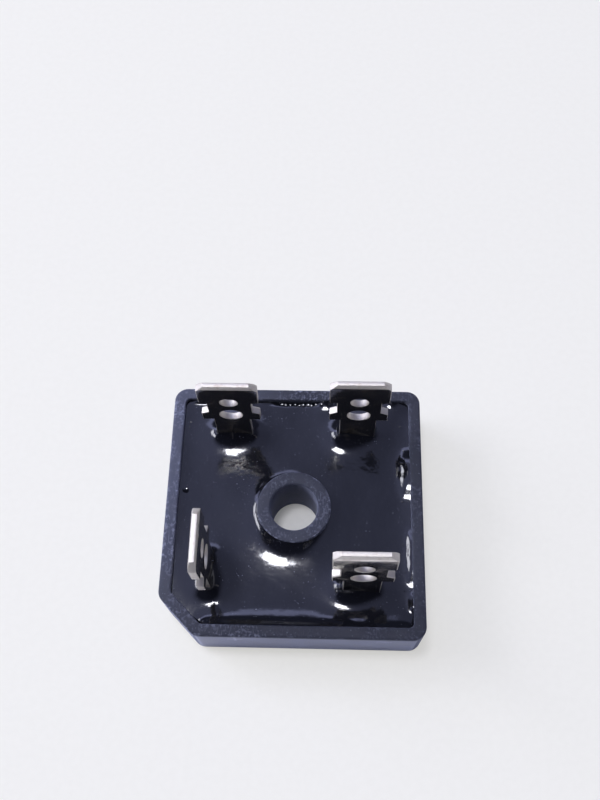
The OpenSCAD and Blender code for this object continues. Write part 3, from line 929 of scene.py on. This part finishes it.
class RECTIFIER_OT_potting(bpy.types.Operator):
    """Make the cast epoxy, which climbs the wall, the sleeve and the necks"""

    bl_idname = "rectifier.potting"
    bl_label = "Potting"

    def execute(self, context):
        s = context.scene.rectifier_potting
        grid = settled_surface(context)
        outer = outline(WALL, context.scene.rectifier_case.inner_r, 0.2 * MM)
        inner = outer / np.linalg.norm(outer, axis=1)[:, None] * context.scene.rectifier_sleeve.outer_r
        # Rings from the sleeve to the wall, closer together near both.
        steps = np.linspace(0, 1, 111)
        rings = []
        for share in 0.5 * steps + 0.5 * (1 - np.cos(math.pi * steps)) / 2:
            ring = inner + share * (outer - inner)
            rings.append(at_height(ring, skin_height(s, grid, ring[:, 0], ring[:, 1])))
        rings += [at_height(outer, POTTING_LOW.z), at_height(inner, POTTING_LOW.z)]
        points, faces = swept(rings, closed=True)
        piece = add_piece("cast_potting", points, faces, [cast_epoxy(s)], 60)
        upright(piece)
        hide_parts("potting")

        self.add_bubbles(s, grid)
        return {"FINISHED"}

    def add_bubbles(self, s, grid):
        """Small bubbles that cured into the skin, as flat domes on it."""
        wall = (HALF - WALL) / MM
        draw = random.Random(7)
        # Place and radius in millimetres: a row at the back wall, some along the right
        # wall, tiny ones anywhere and three at the left wall.
        spots = [
            (x + draw.uniform(-0.12, 0.12), wall - draw.uniform(0.34, 0.5), draw.uniform(0.16, 0.28))
            for x in np.arange(-1.7, 3.2, 0.5)
        ]
        for y in draw.sample(range(-10, 12), 7):
            spots.append((wall - draw.uniform(0.5, 1.3), y, draw.uniform(0.06, 0.12)))
        spots += [(draw.uniform(-11, 11), draw.uniform(-11, 11), draw.uniform(0.03, 0.06)) for _ in range(9)]
        spots += [(-12.27, 1.92, 0.36), (-12.3, 10.2, 0.09), (-12.4, 9.6, 0.08)]
        spots = np.array([spot for spot in spots if math.hypot(*spot[:2]) >= CLEAR_OF_SLEEVE]) * MM
        heights = skin_height(s, grid, spots[:, 0], spots[:, 1])
        # Each is a flat lens, tilted towards the front and the left.
        tilt = Matrix.Rotation(math.radians(15), 4, "X") @ Matrix.Rotation(math.radians(-3), 4, "Y")
        flat = tilt @ Matrix.Diagonal((1, 1, 0.16, 1))
        made = bmesh.new()
        for (x, y, radius), z in zip(spots, heights):
            place = Matrix.Translation((x, y, z + 0.15 * radius)) @ flat
            bmesh.ops.create_icosphere(made, subdivisions=3, radius=radius, matrix=place)
        points = [v.co.copy() for v in made.verts]
        faces = [[v.index for v in f.verts] for f in made.faces]
        made.free()
        add_piece("potting_bubbles", points, faces, [bpy.data.materials["cast_epoxy"]], 180)


class RECTIFIER_OT_hidden_parts(bpy.types.Operator):
    """Give the chips, the solder and the insulating layer their finishes"""

    bl_idname = "rectifier.hidden_parts"
    bl_label = "Chips, solder and insulation"

    def execute(self, context):
        silicon = plain_finish("lapped_silicon", "#4d5661", "#69727d", 0.8 * MM, 0.25)
        solder = plain_finish("reflowed_solder", "#b4b5b8", "#98999e", 0.3 * MM, 0.35, 1.0)
        layer = plain_finish("cured_insulating_resin", "#d9d4c0", "#c9c3ad", 1.5 * MM, 0.5)
        finishes = {"solder_joints": solder, "insulating_layer": layer}
        finishes |= {name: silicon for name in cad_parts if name.startswith("diode_")}
        for name, material in finishes.items():
            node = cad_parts[name]
            node.data.materials.clear()
            node.data.materials.append(material)
        return {"FINISHED"}


# Soft lamps: direction to it, its distance, width and height in metres, and its radiance.
LAMPS = {
    "overhead": ((-0.11, 0.05, 0.99), 0.6, 0.09, 0.09, 52.0),
    "left_window": ((-0.80, 0.12, 0.55), 0.7, 0.22, 0.20, 11.0),
    "rear_window": ((-0.70, 0.36, 0.62), 0.7, 0.12, 0.20, 11.0),
}


# The camera's place in millimetres, and where its right, its top and its back point.
CAMERA_PLACE = (3.342, -30.468, 103.673)
CAMERA_AXES = ((0.99950, 0.02426, -0.02005), (-0.01386, 0.91134, 0.41141), (0.02825, -0.41093, 0.91123))


def room_light(s):
    """A room that is bright behind and to the left of the part, dark in front of it and
    to its right, and evenly lit near the floor."""
    world = bpy.data.worlds.new("room")
    world.use_nodes = True
    tree = world.node_tree
    tree.nodes.clear()
    towards = add_node(tree, "TexCoord").outputs["Generated"]
    x, y, z = add_node(tree, "SeparateXYZ", {0: towards}).outputs
    # Each step: axis, where it starts, where it ends, and its values there.
    sky = [
        (y, -0.25, 0.12, 0.0, 1.0), (y, 0.55, 0.62, 1.0, 0.1),
        (x, -0.22, 0.12, 1.02, 0.48), (x, 0.3, 0.75, 1.0, 0.2),
    ]
    strip = [(y, 0.44, 0.475, 0.0, 1.0), (y, 0.53, 0.58, 1.0, 0.0), (x, 0.02, 0.12, s.strip, 0.0)]
    low = [
        (z, 0.05, 0.22, s.horizon, 0.0), (y, -0.7, 0.3, 0.15, 1.0),
        (y, 0.7, 0.92, 1.0, 0.2), (x, 0.2, 0.9, 1.0, 0.5),
    ]
    glows = []
    for group in (sky, strip, low):
        product = 1.0
        for axis, start, stop, first, last in group:
            ramp = add_node(
                tree, "MapRange", {0: axis, 1: start, 2: stop, 3: first, 4: last},
                interpolation_type="SMOOTHSTEP",
            )
            product = add_node(tree, "Math", {0: product, 1: ramp}, operation="MULTIPLY")
        glows.append(product)
    rear = add_node(tree, "Math", {0: glows[0], 1: s.sky_strength, 2: s.dark}, operation="MULTIPLY_ADD")
    cool = add_node(tree, "Math", {0: rear, 1: glows[1]}, operation="ADD")
    lights = [
        add_node(tree, "Background", {"Color": tint, "Strength": strength})
        for tint, strength in ((s.sky, cool), (s.low_sky, glows[2]))
    ]
    both = add_node(tree, "AddShader", {0: lights[0], 1: lights[1]})
    seen = add_node(tree, "LightPath").outputs["Is Camera Ray"]
    plain = add_node(tree, "Background", {"Color": s.backdrop, "Strength": 1.0})
    view = add_node(tree, "MixShader", {0: seen, 1: both, 2: plain})
    add_node(tree, "OutputWorld", {"Surface": view})
    return world


class RECTIFIER_OT_stage(bpy.types.Operator):
    """Set the floor, the soft lights and the camera"""

    bl_idname = "rectifier.stage"
    bl_label = "Stage"

    def execute(self, context):
        s = context.scene.rectifier_stage
        scene = context.scene
        mesh = bpy.data.meshes.new("floor")
        corners = [(-1, -1, 0), (1, -1, 0), (1, 1, 0), (-1, 1, 0)]
        mesh.from_pydata(corners, [], [(0, 1, 2, 3)])
        floor = bpy.data.objects.new("floor", mesh)
        scene.collection.objects.link(floor)
        mesh.materials.append(matt_white_board(s))
        scene.world = room_light(s)

        for name, (towards, distance, width, height, radiance) in LAMPS.items():
            lamp = bpy.data.lights.new(name, "AREA")
            lamp.shape = "RECTANGLE"
            lamp.size, lamp.size_y = width, height
            lamp.energy = radiance * math.pi * width * height
            lamp.color = s.lamps[:3]
            box = bpy.data.objects.new(name, lamp)
            away = Vector(towards).normalized()
            box.location = away * distance
            box.rotation_euler = away.to_track_quat("Z", "Y").to_euler()
            scene.collection.objects.link(box)

        lens = bpy.data.cameras.new("camera")
        lens.lens = s.lens
        lens.sensor_width = 36
        lens.clip_start, lens.clip_end = 0.005, 10
        camera = bpy.data.objects.new("camera", lens)
        turn = Matrix(CAMERA_AXES).transposed().to_4x4()
        camera.matrix_world = Matrix.Translation(Vector(CAMERA_PLACE) * MM) @ turn
        scene.collection.objects.link(camera)
        scene.camera = camera
        scene.view_settings.view_transform = "Standard"
        return {"FINISHED"}


OPERATORS = (
    RECTIFIER_OT_case, RECTIFIER_OT_sleeve, RECTIFIER_OT_base_plate, RECTIFIER_OT_terminals,
    RECTIFIER_OT_potting, RECTIFIER_OT_hidden_parts, RECTIFIER_OT_stage,
)


class RECTIFIER_PT_panel(bpy.types.Panel):
    """Lists the operators and the settings."""

    bl_label = "Bridge rectifier"
    bl_idname = "RECTIFIER_PT_panel"
    bl_space_type = "VIEW_3D"
    bl_region_type = "UI"
    bl_category = "Rectifier"

    def draw(self, context):
        for operator in OPERATORS:
            self.layout.operator(operator.bl_idname)
        for name, group in SETTINGS.items():
            column = self.layout.box().column()
            for field in group.__annotations__:
                column.prop(getattr(context.scene, name), field)


def register():
    for group in SETTINGS.values():
        bpy.utils.register_class(group)
    for operator in OPERATORS:
        bpy.utils.register_class(operator)
    bpy.utils.register_class(RECTIFIER_PT_panel)
    for name, group in SETTINGS.items():
        setattr(bpy.types.Scene, name, bpy.props.PointerProperty(type=group))


def unregister():
    for name in SETTINGS:
        delattr(bpy.types.Scene, name)
    bpy.utils.unregister_class(RECTIFIER_PT_panel)
    for operator in reversed(OPERATORS):
        bpy.utils.unregister_class(operator)
    for group in reversed(SETTINGS.values()):
        bpy.utils.unregister_class(group)


def main():
    register()
    for operator in OPERATORS:
        family, name = operator.bl_idname.split(".")
        getattr(getattr(bpy.ops, family), name)()


if __name__ == "__main__":
    main()
